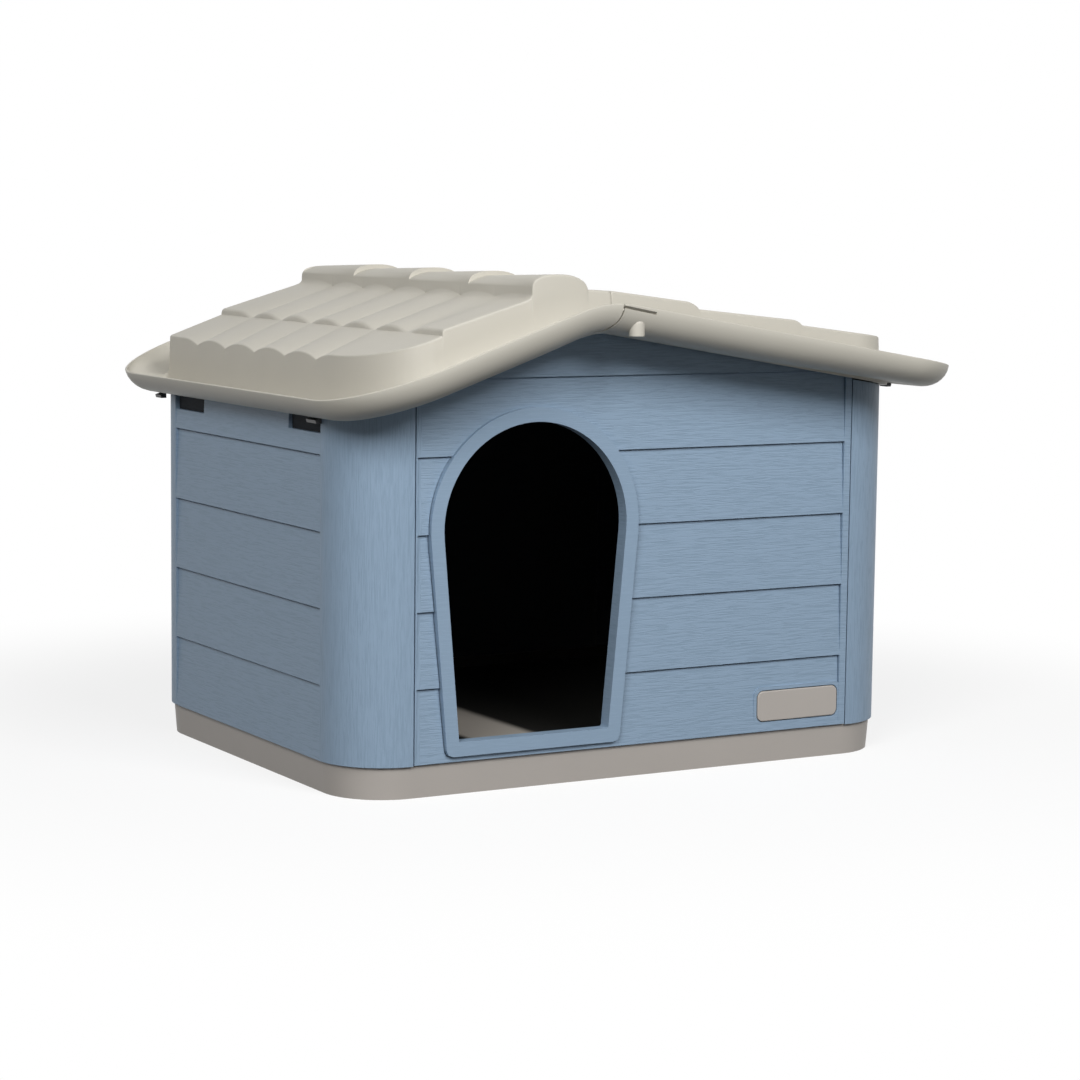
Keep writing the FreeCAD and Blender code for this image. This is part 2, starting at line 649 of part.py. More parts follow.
def main():
    os.makedirs("parts", exist_ok=True)
    nodes = {
        "base_tray": base_tray(),
        "front_wall": front_wall(),
        "rear_wall": rear_wall(),
        "left_side_wall": side_wall(-1),
        "right_side_wall": side_wall(1),
        "name_plate": name_plate(),
        "ridge_beam": ridge_beam(),
        "left_hinge_rod": hinge_rod(-1),
        "right_hinge_rod": hinge_rod(1),
        "left_roof": left_roof(),
        "right_roof": right_roof(),
        "left_eave_clips": eave_clips(-1),
        "right_eave_clips": eave_clips(1),
        "corner_wedges": corner_wedges(),
    }
    for name, shape in nodes.items():
        shape.exportStep("parts/" + name + ".step")
        bb = shape.BoundBox
        print(name, "valid", shape.isValid(), "solids", len(shape.Solids),
              "vol %.0f" % shape.Volume,
              "x %.1f %.1f y %.1f %.1f z %.1f %.1f" % (bb.XMin, bb.XMax, bb.YMin, bb.YMax,
                                                      bb.ZMin, bb.ZMax))


if __name__ == "__main__":
    main()
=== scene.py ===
import math

import bmesh
import bpy
from bpy.props import FloatProperty, PointerProperty, StringProperty
from mathutils import Matrix, Vector


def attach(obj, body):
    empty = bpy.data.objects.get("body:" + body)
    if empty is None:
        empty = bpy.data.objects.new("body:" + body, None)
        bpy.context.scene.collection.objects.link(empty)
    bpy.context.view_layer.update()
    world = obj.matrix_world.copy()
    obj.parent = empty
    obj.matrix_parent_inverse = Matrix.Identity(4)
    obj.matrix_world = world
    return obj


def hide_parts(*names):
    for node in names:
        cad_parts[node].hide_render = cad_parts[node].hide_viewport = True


bl_info = {
    "name": "Moulded dog house",
    "version": (1, 0, 0),
    "blender": (4, 5, 0),
    "location": "3D View > Sidebar > Dog House",
    "description": "Builds the looks of a moulded dog house with a roof that opens in two halves",
    "category": "Add Mesh",
}

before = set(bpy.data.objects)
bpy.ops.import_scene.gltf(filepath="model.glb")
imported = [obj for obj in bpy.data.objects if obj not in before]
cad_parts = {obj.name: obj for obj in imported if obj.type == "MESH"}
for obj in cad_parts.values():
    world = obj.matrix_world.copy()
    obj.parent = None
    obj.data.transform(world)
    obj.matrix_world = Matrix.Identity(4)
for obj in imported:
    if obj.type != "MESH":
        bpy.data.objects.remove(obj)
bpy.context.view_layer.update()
MM = 0.001


# ---- small helpers ------------------------------------------------------------

def linear(code):
    """sRGB hex such as #8899aa to a linear colour with alpha."""
    values = [int(code[i:i + 2], 16) / 255 for i in (1, 3, 5)]
    return tuple(v / 12.92 if v <= 0.04045 else ((v + 0.055) / 1.055) ** 2.4 for v in values) + (1.0,)


def add_node(tree, kind, settings=(), links=()):
    """Adds one node, sets its properties, and fills its sockets with values or links."""
    made = tree.nodes.new(kind)
    for key, value in dict(settings).items():
        setattr(made, key, value)
    for key, value in dict(links).items():
        socket = made.inputs[key]
        if isinstance(value, bpy.types.NodeSocket):
            tree.links.new(value, socket)
        else:
            socket.default_value = value
    return made


def new_material(name):
    material = bpy.data.materials.new(name)
    material.use_nodes = True
    material.node_tree.nodes.clear()
    return material, material.node_tree


def close_material(tree, shader):
    add_node(tree, "ShaderNodeOutputMaterial", links={"Surface": shader.outputs[0]})


def settings():
    return bpy.context.scene.dog_house


def new_piece(name, bm):
    """Turns a bmesh in millimetres into an object in metres."""
    bmesh.ops.scale(bm, vec=(MM, MM, MM), verts=bm.verts)
    mesh = bpy.data.meshes.new(name)
    bm.to_mesh(mesh)
    bm.free()
    piece = bpy.data.objects.new(name, mesh)
    bpy.context.scene.collection.objects.link(piece)
    return piece


def smooth(piece, angle=38.0):
    for face in piece.data.polygons:
        face.use_smooth = True
    piece.data.set_sharp_from_angle(angle=math.radians(angle))


def bake(piece):
    """Applies the piece's modifiers to a plain mesh."""
    graph = bpy.context.evaluated_depsgraph_get()
    mesh = bpy.data.meshes.new_from_object(piece.evaluated_get(graph))
    piece.modifiers.clear()
    piece.data = mesh


def carve(piece, tools, operation="DIFFERENCE"):
    """Cuts the tools out of a piece, or unites them with it, and deletes them."""
    for tool in tools:
        cut = piece.modifiers.new("cut", "BOOLEAN")
        cut.operation = operation
        cut.solver = "EXACT"
        cut.object = tool
    bake(piece)
    for tool in tools:
        bpy.data.objects.remove(tool)


def push(name, points, vector):
    """Closed solid: a flat outline of 3-D points moved along a vector."""
    bm = bmesh.new()
    ends = [[bm.verts.new([a + b * k for a, b in zip(p, vector)]) for p in points] for k in (0, 1)]
    bm.faces.new(ends[0])
    bm.faces.new(ends[1])
    count = len(points)
    for i in range(count):
        j = (i + 1) % count
        bm.faces.new((ends[0][i], ends[0][j], ends[1][j], ends[1][i]))
    bmesh.ops.recalc_face_normals(bm, faces=bm.faces)
    return new_piece(name, bm)


def join(piece, others):
    """Adds the other objects' meshes to a piece and deletes them."""
    bm = bmesh.new()
    for source in [piece] + others:
        bm.from_mesh(source.data)
    bm.to_mesh(piece.data)
    bm.free()
    for other in others:
        bpy.data.objects.remove(other)


def prism(name, outline, y0, y1):
    """Closed solid with an outline in x and z, from y0 to y1."""
    return push(name, [(x, y0, z) for x, z in outline], (0, y1 - y0, 0))


def merged_copy(node):
    """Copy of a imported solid's mesh, in millimetres and with its doubled vertices merged."""
    bm = bmesh.new()
    bm.from_mesh(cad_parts[node].data)
    bmesh.ops.scale(bm, vec=(1 / MM, 1 / MM, 1 / MM), verts=bm.verts)
    bmesh.ops.remove_doubles(bm, verts=bm.verts, dist=0.001)
    return bm


def paint(mesh, material):
    mesh.materials.clear()
    mesh.materials.append(material)


# ---- roof surfaces, in millimetres ---------------------------------------------

RIDGE_X, RIDGE_Z = -71.8, 391.9
SLOPE_LEFT, SLOPE_RIGHT = 0.351, 0.165
RIDGE_BEND = 24.0           # the rim crest bends over this far each side of the ridge line
ROOF_X, ROOF_Y = 291.2, 256.9
# plan outlines: half width, front and back y, then the two half axes of the front and back corners
RIM_PLAN = {-1: (ROOF_X, -ROOF_Y, ROOF_Y, 78.0, 78.0, 74.0, 74.0),
            1: (ROOF_X, -ROOF_Y, ROOF_Y, 60.0, 60.0, 60.0, 60.0)}
BLOCK_X = 243.5
BLOCK_Y0, BLOCK_Y1 = -207.0, 213.0
BLOCK_PLAN = {-1: (BLOCK_X, BLOCK_Y0, BLOCK_Y1, 45.0, 92.0, 5.5, 5.5),
              1: (BLOCK_X, BLOCK_Y0, BLOCK_Y1, 39.0, 39.0, 12.0, 12.0)}
# flat seat over the right wall's top
SEAT_PLAN = (262.0, -205.5, 211.5, 54.0, 54.0, 20.0, 20.0)
TILES, PITCH = 7, 59.3
EDGE_ROUND = 1.8            # top edge of the tile block
STEP_LEFT = -192.0          # lower edge of the upper course on the left
RIDGE_SIDE = -112.9         # left flank of the ridge tiles
# courses: x at the two ends, the crowns' heights over the rim crest there, then the valleys'
LEFT_UPPER = (RIDGE_SIDE, STEP_LEFT, 14.3, 18.8, 12.6, 13.2)
LEFT_LOWER = (STEP_LEFT, -BLOCK_X, 14.2, 13.6, 13.2, 8.4)
RIGHT_COURSES = ((-41.0, 33.0, 10.8, 13.8, 10.3, 9.8), (44.0, 139.0, 9.3, 15.3, 8.6, 10.6),
                 (147.0, BLOCK_X, 12.0, 15.9, 11.2, 10.4))
CAP_MIDDLE, CAP_LEFT, CAP_RIGHT = -88.0, 24.9, 26.0     # a ridge tile's middle and reach to each side
CAP_BASE, CAP_TALL = 398.0, 12.79
CAP_LENGTH = (BLOCK_Y1 - BLOCK_Y0) / 4
CAP_LIFT = 3.7              # front end of a ridge tile over the back end of the next
SEAM_X = -40.8
AXIS_Z = 394.3              # the halves turn about these lines
AXIS_X = {-1: -44.05, 1: -37.55}
SEAM_ROUND = 3.2            # the seam edges stay this close to them, so that both halves can open
DISH = 19.5                 # gutter floor below the crest along the verges
EAVE_DISH = 12.0            # and below the rim's own crest along the eaves
FILLET = 9.0                # where the block runs into the gutter
LIP = 2.0
BOWL_IN = 21.5              # the round underside of the rim runs this far in
RIM_DEEP = 24.0
EAVE_RISE = 3.0             # the right rim's underside rises by this much toward the eave
SKIN = 3.5
CEILING = 4.5               # ceiling of the hollow above the rim crest
RIM_END = (-79.0, 386.5, 19.4)      # round end of the left rim: centre x and z, radius
END_CUT = 12.0              # the cuts between the two rims run this far in from the verge
RIM_GAP = 1.5               # between the left rim's round end and the tongue
PEG_X, PEG_IN, PEG_R, PEG_LOW, PEG_HIGH = -42.0, 8.2, 6.2, 363.5, 372.8


def crest(x):
    """Height of the rim crest at x: two slopes with a soft bend at the ridge."""
    t = x - RIDGE_X
    if t < -RIDGE_BEND:
        return RIDGE_Z + SLOPE_LEFT * t
    if t > RIDGE_BEND:
        return RIDGE_Z - SLOPE_RIGHT * t
    q = t + RIDGE_BEND
    return (RIDGE_Z - SLOPE_LEFT * RIDGE_BEND + SLOPE_LEFT * q
            - (SLOPE_LEFT + SLOPE_RIGHT) / (4 * RIDGE_BEND) * q * q)


def barrel(y):
    """1 on a tile's crown and 0 in the valley between two; the outermost halves stay level."""
    k = min(max((y - BLOCK_Y0) / PITCH, 0.0), TILES - 1e-6)
    n = int(k)
    s = 2 * (k - n) - 1
    if (n == 0 and s < 0) or (n == TILES - 1 and s > 0):
        return 1.0
    return 1 - s * s


def course(x, y, x0, x1, crown0, crown1, valley0, valley1):
    """Height of one course of tiles; crown and valley are given over the crest at its two ends."""
    f = min(max((x - x0) / (x1 - x0), 0.0), 1.0)
    crown = crown0 + (crown1 - crown0) * f
    valley = valley0 + (valley1 - valley0) * f
    return crest(x) + valley + (crown - valley) * barrel(y)


def nose(d, length, drop):
    """How far a rounded lower edge has fallen at distance d past its start."""
    if d <= 0:
        return 0.0
    if d >= length:
        return 1e3
    return drop * (1 - math.sqrt(1 - (d / length) ** 2))


def ridge_cap(x, y):
    """Half-round ridge tiles, each highest at its front end."""
    n = min(int((y - BLOCK_Y0) / CAP_LENGTH), 3)
    t = (y - BLOCK_Y0) / CAP_LENGTH - n
    shrink = CAP_LIFT * t
    reach, power = (CAP_LEFT, 2.8) if x < CAP_MIDDLE else (CAP_RIGHT - shrink, 2.2)
    s = abs(x - CAP_MIDDLE) / reach
    if s >= 1:
        return 0.0
    return CAP_BASE + (CAP_TALL - shrink) * (1 - s ** power) ** (1 / power)


def cap_shift(x, y, z):
    """The upper left of a ridge tile stands further in toward the tile's back end."""
    t = (y - BLOCK_Y0) / CAP_LENGTH % 1.0
    near = max(0.0, 1.0 - max(0.0, abs(x - RIDGE_SIDE - 2.0) - 5.0) / 14.0)
    return CAP_LIFT * t * near * min(max((z - 401.0) / 4.0, 0.0), 1.0)


def seam_round(x, side):
    """Height of the rounded edge at the seam."""
    reach = (AXIS_X[side] - x) * side
    return AXIS_Z + math.sqrt(max(SEAM_ROUND ** 2 - max(reach, 0.0) ** 2, 0.0))


def left_top(x, y):
    """Height of the left half's tiles, ridge tiles and the strip beside the seam."""
    # the two tiles nearest the front run together in the lower course
    lower = course(x, max(y, BLOCK_Y0 + 1.5 * PITCH), *LEFT_LOWER)
    upper = course(x, y, *LEFT_UPPER)
    height = max(lower, upper - nose(STEP_LEFT + 2.4 - x, 2.6, 2.4))
    # the crowns run up into the flank of the ridge with a small round
    climb = min(max((x - RIDGE_SIDE + 5.0) / 5.0, 0.0), 1.0)
    height += 4.2 * barrel(y) * (1 - math.sqrt(1 - climb * climb))
    if x > RIDGE_SIDE:
        ledge = 397.6 - nose(RIDGE_SIDE + 1.5 - x, 1.6, 1.4)
        strip = 397.2 + (-41.7 - x) * 0.069
        base = ledge if x < -63.0 else strip
        height = max(base, ridge_cap(x, y))
    return min(height, seam_round(x, -1)) if x > AXIS_X[-1] else height


def right_top(x, y):
    """Height of the right half's three courses, each running out in a rounded lower edge."""
    first, second, third = (course(x, y, *shape) for shape in RIGHT_COURSES)
    height = first - nose(x - 31.5, 13.0, 6.6)
    height = max(height, second - nose(x - 137.0, 10.0, 5.6))
    height = max(height, third if x > 100 else second)
    return min(height, seam_round(x, 1)) if SEAM_X - 1.0 < x < AXIS_X[1] else height


def spread(marks, fine, coarse, low, high):
    """Grid lines from low to high: dense beside each mark, coarse between."""
    lines = {low, high}
    for mark in marks:
        for step in fine:
            for value in (mark - step, mark + step):
                if low < value < high:
                    lines.add(value)
        if low < mark < high:
            lines.add(mark)
    lines = sorted(lines)
    full = [lines[0]]
    for value in lines[1:]:
        gap = value - full[-1]
        if gap < 1e-4:
            continue
        parts = max(1, math.ceil(gap / coarse))
        start = full[-1]
        full.extend(start + gap * (i + 1) / parts for i in range(parts))
    return full


def point_at(key, side, x_end, plan, offset=0.0):
    """Point and outward normal on a plan outline that is open at the ridge, moved outward by the
    offset. key runs 0 to 5: front edge, corner, eave side, corner, back edge."""
    far, front, back, fx, fy, bx, by = plan
    a = (key % 1) * math.pi / 2
    if key <= 1:
        x, y, nx, ny = x_end + (side * (far - fx) - x_end) * key, front, 0.0, -1.0
    elif key < 2:
        x, y = side * (far - fx + fx * math.sin(a)), front + fy - fy * math.cos(a)
        nx, ny = side * fy * math.sin(a), -fx * math.cos(a)
    elif key <= 3:
        x, y, nx, ny = side * far, front + fy + (back - by - front - fy) * (key - 2), float(side), 0.0
    elif key < 4:
        x, y = side * (far - bx + bx * math.cos(a)), back - by + by * math.sin(a)
        nx, ny = side * by * math.cos(a), bx * math.sin(a)
    else:
        start = side * (far - bx)
        x, y, nx, ny = start + (x_end - start) * (key - 4), back, 0.0, 1.0
    size = math.hypot(nx, ny)
    return x + nx / size * offset, y + ny / size * offset, nx / size, ny / size


def clip(polygon, a, b, sign):
    """Part of a polygon on the inner side of the line through a and b."""
    kept = []
    dx, dy = b[0] - a[0], b[1] - a[1]
    values = [sign * (dx * (p[1] - a[1]) - dy * (p[0] - a[0])) for p in polygon]
    for i, p in enumerate(polygon):
        q, vp, vq = polygon[i - 1], values[i], values[i - 1]
        if (vp >= 0) != (vq >= 0):
            f = vq / (vq - vp)
            kept.append((q[0] + (p[0] - q[0]) * f, q[1] + (p[1] - q[1]) * f))
        if vp >= 0:
            kept.append(p)
    return kept


def trimmed_grid(xs, ys, corners, sign):
    """Grid cells cut by a convex outline; a list of polygons in plan."""
    edges = list(zip(corners, corners[1:] + corners[:1]))
    inside = {}
    for i, x in enumerate(xs):
        for j, y in enumerate(ys):
            inside[i, j] = min(sign * ((b[0] - a[0]) * (y - a[1]) - (b[1] - a[1]) * (x - a[0]))
                               for a, b in edges) >= 0
    cells = []
    for i in range(len(xs) - 1):
        for j in range(len(ys) - 1):
            found = [inside[i, j], inside[i + 1, j], inside[i + 1, j + 1], inside[i, j + 1]]
            cell = [(xs[i], ys[j]), (xs[i + 1], ys[j]), (xs[i + 1], ys[j + 1]), (xs[i], ys[j + 1])]
            if not all(found):
                for a, b in edges:
                    cell = clip(cell, a, b, sign)
                    if len(cell) < 3:
                        break
            if len(cell) >= 3:
                cells.append(cell)
    return cells


def outline_vertices(vertices, keys, corners):
    """The grid's vertices that lie on the outline, in order, with their keys."""
    found = []
    for (x, y), v in vertices.items():
        for k0, k1, a, b in zip(keys, keys[1:], corners, corners[1:]):
            dx, dy = b[0] - a[0], b[1] - a[1]
            length = math.hypot(dx, dy)
            off = abs(dx * (y - a[1]) - dy * (x - a[0])) / length
            f = (dx * (x - a[0]) + dy * (y - a[1])) / length ** 2
            if off < 2e-3 and -1e-6 <= f <= 1 + 1e-6:
                found.append((k0 + (k1 - k0) * min(max(f, 0.0), 1.0), v))
                break
    return sorted(found, key=lambda item: item[0])


def section(key, z, side, x_end):
    """Points down from the top edge of the block: edge round, face, fillet, gutter dish, lip, round
    underside, and up inside the hollow."""
    block_plan, rim_plan = BLOCK_PLAN[side], RIM_PLAN[side]
    row = []

    def block(offset, height):
        x, y = point_at(key, side, x_end, block_plan, offset)[:2]
        row.append((x, y, height(x) if callable(height) else height))

    def rim(offset, drop):
        # depth is square to the roof plane, except close to the ridge
        x, y = point_at(key, side, x_end, rim_plan, offset)[:2]
        slope = math.atan(SLOPE_LEFT if side < 0 else SLOPE_RIGHT)
        slope *= min(1.0, abs(x - RIDGE_X) / 70.0)
        if (x - RIDGE_X) * side < 0:
            slope = 0.0
        row.append((x - side * drop * math.sin(slope), y, crest(x) - drop * math.cos(slope)))

    for a in (22.5, 45, 67.5, 90):
        a = math.radians(a)
        block(EDGE_ROUND * (math.sin(a) - 1), z - EDGE_ROUND * (1 - math.cos(a)))
    nx = point_at(key, side, x_end, block_plan)[2]
    fillet = FILLET - 5.0 * abs(nx)
    deep = RIM_DEEP
    if side > 0:
        deep -= EAVE_RISE * min(max((point_at(key, side, x_end, rim_plan)[0] - 100.0) / 180.0, 0.0), 1.0)
    bx, by = point_at(key, side, x_end, block_plan, 1.4 + fillet)[:2]
    rx, ry = point_at(key, side, x_end, rim_plan, -LIP)[:2]
    floor = min(crest(bx) - DISH, crest(rx) - EAVE_DISH)
    edge = crest(rx) - 1.3
    block(0.7, 0.5 * (z - EDGE_ROUND + floor + fillet))
    for a in (0, 22, 45, 67, 90):
        a = math.radians(a)
        block(1.4 + fillet * (1 - math.cos(a)), floor + fillet * (1 - math.sin(a)))
    for t in (0.2, 0.4, 0.55, 0.68, 0.79, 0.88, 0.95, 1.0):
        row.append((bx + (rx - bx) * t, by + (ry - by) * t, edge - (edge - floor) * math.sqrt(1 - t * t)))
    for offset, drop in ((-0.9, 0.35), (-0.6, 0.0), (-0.3, 0.05), (-0.08, 0.4), (0.0, 1.1)):
        rim(offset * LIP, drop)
    for a in (12, 24, 36, 48, 60, 71, 81, 90):
        a = math.radians(a)
        rim(-BOWL_IN * (1 - math.cos(a)), 1.1 + (deep - 1.1) * math.sin(a))
    if side > 0:
        # the flat seat over the wall tops stands out below the raised underside
        for offset, drop in ((0.8, deep - 0.3), (0.0, RIM_DEEP)):
            x, y = point_at(key, side, x_end, SEAT_PLAN, offset)[:2]
            row.append((x, y, crest(x) - drop))
    block(-SKIN, lambda x: min(crest(x) - RIM_DEEP, floor - 2.0))
    block(-SKIN, lambda x: crest(x) + CEILING)
    return row


def half_shell(side, x_end, top, xs_marks, ys_marks):
    """One closed roof half as a bmesh in millimetres: tile block, gutter dish, rim with its round
    underside, and the hollow below. It ends flat at x_end."""
    keys = [0.0] + [1 + i / 26 for i in range(27)] + [3 + i / 12 for i in range(13)] + [5.0]
    corners = [point_at(k, side, x_end, BLOCK_PLAN[side], -EDGE_ROUND)[:2] for k in keys]
    low, high = sorted((x_end - side * 0.7, side * (BLOCK_X - 1.0)))
    xs = spread(xs_marks, (0.12, 0.35, 0.8, 1.6, 3.0), 5.0, low, high)
    ys = spread(ys_marks, (0.25, 0.8, 2.0, 5.0), 5.5, BLOCK_Y0 + 1.0, BLOCK_Y1 - 1.0)
    bm = bmesh.new()
    found = {}

    def vertex(p):
        key = (round(p[0], 3), round(p[1], 3))
        if key not in found:
            z = top(p[0], p[1])
            shift = cap_shift(p[0], p[1], z) if side < 0 else 0.0
            found[key] = bm.verts.new((p[0] + shift, p[1], z))
        return found[key]

    for cell in trimmed_grid(xs, ys, corners, side):
        face = []
        for p in cell:
            v = vertex(p)
            if v not in face:
                face.append(v)
        if len(face) >= 3 and not bm.faces.get(face):
            bm.faces.new(face)
    rim = outline_vertices(found, keys, corners)
    rows = [[v] + [bm.verts.new(p) for p in section(key, v.co.z, side, x_end)] for key, v in rim]
    for a, b in zip(rows, rows[1:]):
        for k in range(len(a) - 1):
            bm.faces.new((a[k], b[k], b[k + 1], a[k + 1]))
    # ceiling of the hollow: strips across as long as front and back are straight, then one face
    last = [row[-1] for row in rows]
    n = len(last) - 1
    m = 0
    while rim[m + 1][0] <= 1 and rim[n - m - 1][0] >= 4:
        bm.faces.new((last[m], last[m + 1], last[n - m - 1], last[n - m]))
        m += 1
    bm.faces.new(last[m:n - m + 1])
    # flat end at the ridge
    open_edges = [e for e in bm.edges if len(e.link_faces) == 1]
    bmesh.ops.contextual_create(bm, geom=open_edges)
    bmesh.ops.recalc_face_normals(bm, faces=bm.faces)
    return bm


def rim_end_outline(gap, far_x):
    """The left rim's round end seen from the front, grown by a gap, and all of the rim between it
    and far_x."""
    cx, cz, r = RIM_END
    r += gap
    end = [(cx + r * math.cos(math.radians(a)), cz + r * math.sin(math.radians(a)))
           for a in range(14, -92, -8)]
    return [(end[0][0], 430.0)] + end + [(end[-1][0], 320.0), (far_x, 320.0), (far_x, 430.0)]


def rim_peg(end):
    """Upright peg with a round top on the rim's tongue, at one verge."""
    bm = bmesh.new()
    cx, cy = PEG_X, end * (ROOF_Y - PEG_IN)
    rings = [(PEG_R, PEG_LOW), (PEG_R, PEG_HIGH)]
    rings += [(PEG_R * math.cos(a), PEG_HIGH + PEG_R * math.sin(a)) for a in (0.3, 0.6, 0.9, 1.2, 1.42)]
    turns = [k * math.pi / 16 for k in range(32)]
    loops = [[bm.verts.new((cx + r * math.cos(a), cy + r * math.sin(a), z)) for a in turns]
             for r, z in rings]
    for a, b in zip(loops, loops[1:]):
        for k in range(32):
            bm.faces.new((a[k], a[(k + 1) % 32], b[(k + 1) % 32], b[k]))
    bm.faces.new(loops[0])
    bm.faces.new(loops[-1])
    bmesh.ops.recalc_face_normals(bm, faces=bm.faces)
    return new_piece("peg", bm)


# ---- wall shapes, in millimetres -------------------------------------------------

BODY_X0, BODY_X1, BODY_Y = -266.0, 260.0, 198.5
CORNER = 55.0
WALL_T = 4.5
SEAM_LEFT, SEAM_RIGHT = -211.0, 205.0
LAPS = (26.3, 87.1, 148.0, 208.6, 269.4, 329.7, 390.7)
LAP_DEPTH = 2.2             # the top edge of a board lies this far behind the next one
GROOVE_TALL, GROOVE_DEEP = 1.1, 3.5
GABLE_DROP = 13.0           # gable top below the rim crest
NOTCH_STARTS, NOTCH_LONG = (-144.0, 84.0), 60.0
NOTCH_DROP = 38.0           # floor of a hand notch below the rim crest
# at this depth the hand notches' bottoms count as cabin faces and take the cabin's painted shade
NOTCH_DEEP = 4.25           # all but a thin skin of the wall
# doorway: middle, spring line and radius of its round head, then half width and height of the sill
DOOR_X, SPRING_Z, DOOR_R, SILL_HALF, SILL_Z = -103.0, 211.0, 83.5, 68.5, 43.0
FRAME_WIDE, FRAME_PROUD = 11.5, 3.0
PLATE_OUTLINE = (114.2, 195.4, 35.6, 61.1)
BEAM_SEAT_HALF, BEAM_SEAT_Z = 13.1, 374.0


def arc(cx, cz, r, a0, a1, count):
    """Points on an arc in x and z, angles in degrees."""
    angles = [math.radians(a0 + (a1 - a0) * i / count) for i in range(count + 1)]
    return [(cx + r * math.cos(a), cz + r * math.sin(a)) for a in angles]


def door_outline(grow, corner):
    """Arched doorway that narrows to its sill, grown outward; corner rounds the two lower corners."""
    r, sill = DOOR_R + grow, SILL_Z - grow
    # the jambs run from the ends of the half circle down to the sill
    lean = math.atan2(DOOR_R - SILL_HALF, SPRING_Z - SILL_Z)
    points = arc(DOOR_X, SPRING_Z, r, -math.degrees(lean), 180 + math.degrees(lean), 44)
    half = r * math.cos(lean) - (SPRING_Z - r * math.sin(lean) - sill) * math.tan(lean)
    reach = corner / math.tan((math.pi / 2 + lean) / 2)
    for side in (-1, 1):
        x = DOOR_X + side * half
        a = (x + side * math.sin(lean) * reach, sill + math.cos(lean) * reach)
        b = (x - side * reach, sill)
        # three points on the round between the jamb and the sill
        middle = ((a[0] + b[0] + 2 * x) / 4, (a[1] + b[1] + 2 * sill) / 4)
        points.extend([a, middle, b] if side < 0 else [b, middle, a])
    return points


def rounded_rectangle(x0, x1, z0, z1, r):
    points = []
    corners = ((x1 - r, z0 + r, -90), (x1 - r, z1 - r, 0), (x0 + r, z1 - r, 90), (x0 + r, z0 + r, 180))
    for cx, cz, a in corners:
        points.extend(arc(cx, cz, r, a, a + 90, 6))
    return points


def lap_outline(z0, z1):
    """What is planed off one board as depth behind the wall face and height. Under the next board
    the groove runs in a little deeper."""
    z = z1 - GROOVE_TALL
    return [(-1.0, z0), (0.0, z0), (LAP_DEPTH, z), (GROOVE_DEEP, z), (GROOVE_DEEP, z1), (-1.0, z1)]


def gable_wall(name, side, x0, x1, grooves, parts, holes):
    """Flat wall between the corner panels with its boards; side is -1 front, +1 rear."""
    left, right = SEAM_LEFT + 1.1, SEAM_RIGHT - 1.1
    top = [(x, crest(x) - GABLE_DROP) for x in (right, -47.8, -59.8, RIDGE_X, -83.8, -95.8, left)]
    outline = [(left, LAPS[0] + 0.7), (right, LAPS[0] + 0.7)] + top
    y = side * BODY_Y
    wall = push(name, [(px, y, pz) for px, pz in outline], (0, -side * WALL_T, 0))
    laps = []
    for z0, z1 in zip(LAPS, LAPS[1:]):
        points = [(x0, y - side * d, z) for d, z in lap_outline(z0, z1)]
        laps.append(push("cut", points, (x1 - x0, 0, 0)))
        # the step at the right end of a board runs in deeper toward its top; the gable board has none
        if z1 < LAPS[-1]:
            step = [(x1 - 0.9, y - side * d, z)
                    for d, z in ((-1, z0 + 4), (0.3, z0 + 4), (GROOVE_DEEP, z1), (-1, z1))]
            laps.append(push("cut", step, (0.95, 0, 0)))
    carve(wall, laps + grooves)
    if parts:
        carve(wall, parts, "UNION")
    # seat of the ridge beam
    x0, x1 = SEAM_X - BEAM_SEAT_HALF, SEAM_X + BEAM_SEAT_HALF
    notch = [(x0, BEAM_SEAT_Z), (x1, BEAM_SEAT_Z), (x1, 420.0), (x0, 420.0)]
    carve(wall, [prism("cut", notch, y - 12, y + 12)] + holes)
    return wall


def ease(piece, width, angle=30.0):
    """Breaks the sharp edges of a piece with small bevels."""
    bm = bmesh.new()
    bm.from_mesh(piece.data)
    bmesh.ops.remove_doubles(bm, verts=bm.verts, dist=1e-6)
    bmesh.ops.dissolve_limit(bm, angle_limit=math.radians(0.4), verts=bm.verts, edges=bm.edges)
    bmesh.ops.recalc_face_normals(bm, faces=bm.faces)
    bm.to_mesh(piece.data)
    bm.free()
    bevel = piece.modifiers.new("bevel", "BEVEL")
    bevel.width = width * MM
    bevel.segments = 2
    bevel.limit_method = "ANGLE"
    bevel.angle_limit = math.radians(angle)
    bevel.use_clamp_overlap = True
    bake(piece)


# ---- materials ------------------------------------------------------------------

# darker tones of the faint cloudiness in each plastic, the catches' near-black that is painted shade, and
# the painted shade inside the cabin with painted light on one floor strip
ROOF_DARK, BASE_DARK = "#bfbbb0", "#aea8a2"
CATCH_PAINTED_SHADE = ("#232427", "#1c1d20")
WHITE = (1.0, 1.0, 1.0, 1.0)
PAINTED_CABIN_SHADE, PAINTED_FLOOR_SHADE, PAINTED_FLOOR_LIGHT = "#11161c", "#12110f", "#a39d95"


